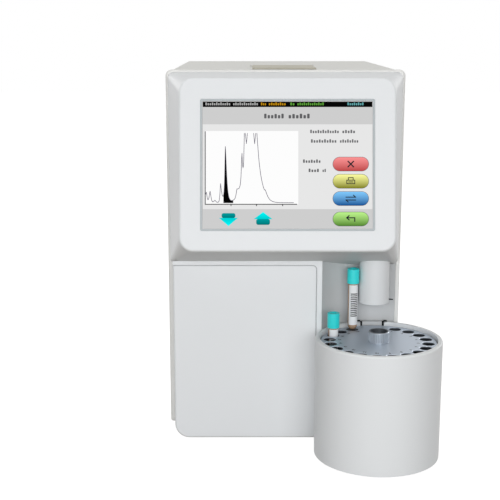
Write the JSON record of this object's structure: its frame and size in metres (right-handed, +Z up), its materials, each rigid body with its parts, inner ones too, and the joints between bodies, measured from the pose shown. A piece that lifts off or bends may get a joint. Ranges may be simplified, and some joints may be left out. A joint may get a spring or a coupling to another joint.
{
  "type": "glycohemoglobin analyzer",
  "caption": "Bench analyzer for blood tubes: tall cabinet with a tilted touch screen, a hinged service door and a round sample carousel in front.",
  "frame": {"origin": "middle of the footprint of the whole instrument, on the table", "axes": "+Z up, +Y from the screen to the back, +X to the viewer's right"},
  "size_m": [0.3674, 0.599, 0.5118],
  "materials": {
    "white_plastic": "satin painted moulding",
    "chassis_paint": "fine textured powder coat",
    "compartment_paint": "smooth powder coat",
    "zinc_steel": "zinc plated sheet",
    "ground_steel": "ground and polished",
    "milled_aluminium": "fine milled",
    "tray_metal": "polished, blue grey",
    "knob_metal": "fluted, satin",
    "black_rubber": "matte",
    "black_plastic": "fine grain",
    "grey_plastic": "fine grain",
    "lid_plastic": "fine grain, beige",
    "rim_plastic": "smooth",
    "screen_glass": "lit screen behind glass",
    "board_green": "lacquered board",
    "motor_black": "laminated steel",
    "tube_plastic": "clear plastic over a tan filling",
    "cap_teal": "soft gloss",
    "label_paper": "printed paper"
  },
  "bodies": {
    "root": {"chassis_frame": "chassis_paint", "chassis_cover": "chassis_paint", "base_pan": "zinc_steel", "rear_panel": "chassis_paint", "rubber_feet": "black_rubber", "head_shell": "white_plastic", "front_panel": "white_plastic", "door_hinges": "zinc_steel", "door_catch": "black_plastic", "screen_rim": "rim_plastic", "touch_glass": "screen_glass", "display_module": "board_green", "needle_guard": "white_plastic", "needle_bracket": "zinc_steel", "guide_rods": "ground_steel", "needle_motor": "motor_black", "drum_shell": "white_plastic", "rim_block": "white_plastic", "drum_base": "zinc_steel", "carousel_motor": "motor_black", "spindle_bearing": "ground_steel", "lid_hinge": "zinc_steel", "printer_tub": "black_plastic", "paper_roll": "label_paper", "print_head": "milled_aluminium", "compartment": "compartment_paint", "column_oven": "milled_aluminium", "column": "ground_steel", "injection_valve": "milled_aluminium", "pump_unit": "milled_aluminium", "drip_tray": "grey_plastic", "fan_frame": "black_plastic", "fan_guard": "ground_steel", "power_inlet": "black_plastic", "switch_frame": "black_plastic", "data_ports": "zinc_steel", "reagent_fittings": "grey_plastic", "shelf": "zinc_steel", "power_supply": "zinc_steel", "main_board": "board_green"},
    "carousel": {"carousel_spindle": "milled_aluminium", "tube_rack": "black_plastic", "sample_tray": "tray_metal", "standing_tube": "tube_plastic", "standing_cap": "cap_teal", "standing_label": "label_paper", "raised_tube": "tube_plastic", "raised_cap": "cap_teal", "raised_label": "label_paper", "raising_plug": "black_plastic"},
    "tray_knob": {"tray_knob": "knob_metal"},
    "needle": {"needle_carriage": "milled_aluminium", "sampling_needle": "ground_steel", "lead_screw": "ground_steel"},
    "door": {"door": "white_plastic"},
    "printer_lid": {"printer_lid": "lid_plastic"},
    "platen": {"platen_roller": "black_rubber"},
    "purge_knob": {"purge_knob": "black_plastic"},
    "fan_rotor": {"fan_rotor": "black_plastic"},
    "power_rocker": {"power_rocker": "black_plastic"}
  },
  "joints": [
    {"name": "door_swing", "type": "hinge", "parent": "root", "child": "door", "pos_m": [-0.17065, -0.1625, 0.126], "axis": [0, 0, -1], "range_deg": [0, 95]},
    {"name": "carousel_turn", "type": "hinge", "parent": "root", "child": "carousel", "pos_m": [0.09965, -0.2155, 0.12], "axis": [0, 0, 1], "range_deg": [0, 306]},
    {"name": "tray_knob_turn", "type": "hinge", "parent": "carousel", "child": "tray_knob", "pos_m": [0.09965, -0.2155, 0.165], "axis": [0, 0, 1], "continuous": true},
    {"name": "needle_travel", "type": "slide", "parent": "root", "child": "needle", "axis": [0, 0, -1], "range_m": [0, 0.036]},
    {"name": "printer_lid_swing", "type": "hinge", "parent": "root", "child": "printer_lid", "pos_m": [-0.02365, 0.0215, 0.5108], "axis": [-1, 0, 0], "range_deg": [0, 95]},
    {"name": "platen_turn", "type": "hinge", "parent": "printer_lid", "child": "platen", "pos_m": [-0.02365, -0.0815, 0.5028], "axis": [1, 0, 0], "continuous": true},
    {"name": "purge_knob_turn", "type": "hinge", "parent": "root", "child": "purge_knob", "pos_m": [-0.12465, -0.0975, 0.108], "axis": [0, 1, 0], "range_deg": [0, 180]},
    {"name": "fan_spin", "type": "hinge", "parent": "root", "child": "fan_rotor", "pos_m": [-0.11365, 0.2725, 0.4], "axis": [0, 1, 0], "continuous": true},
    {"name": "power_rocker_tilt", "type": "hinge", "parent": "root", "child": "power_rocker", "pos_m": [0.06635, 0.2865, 0.118], "axis": [-1, 0, 0], "range_deg": [0, 16]}
  ]
}
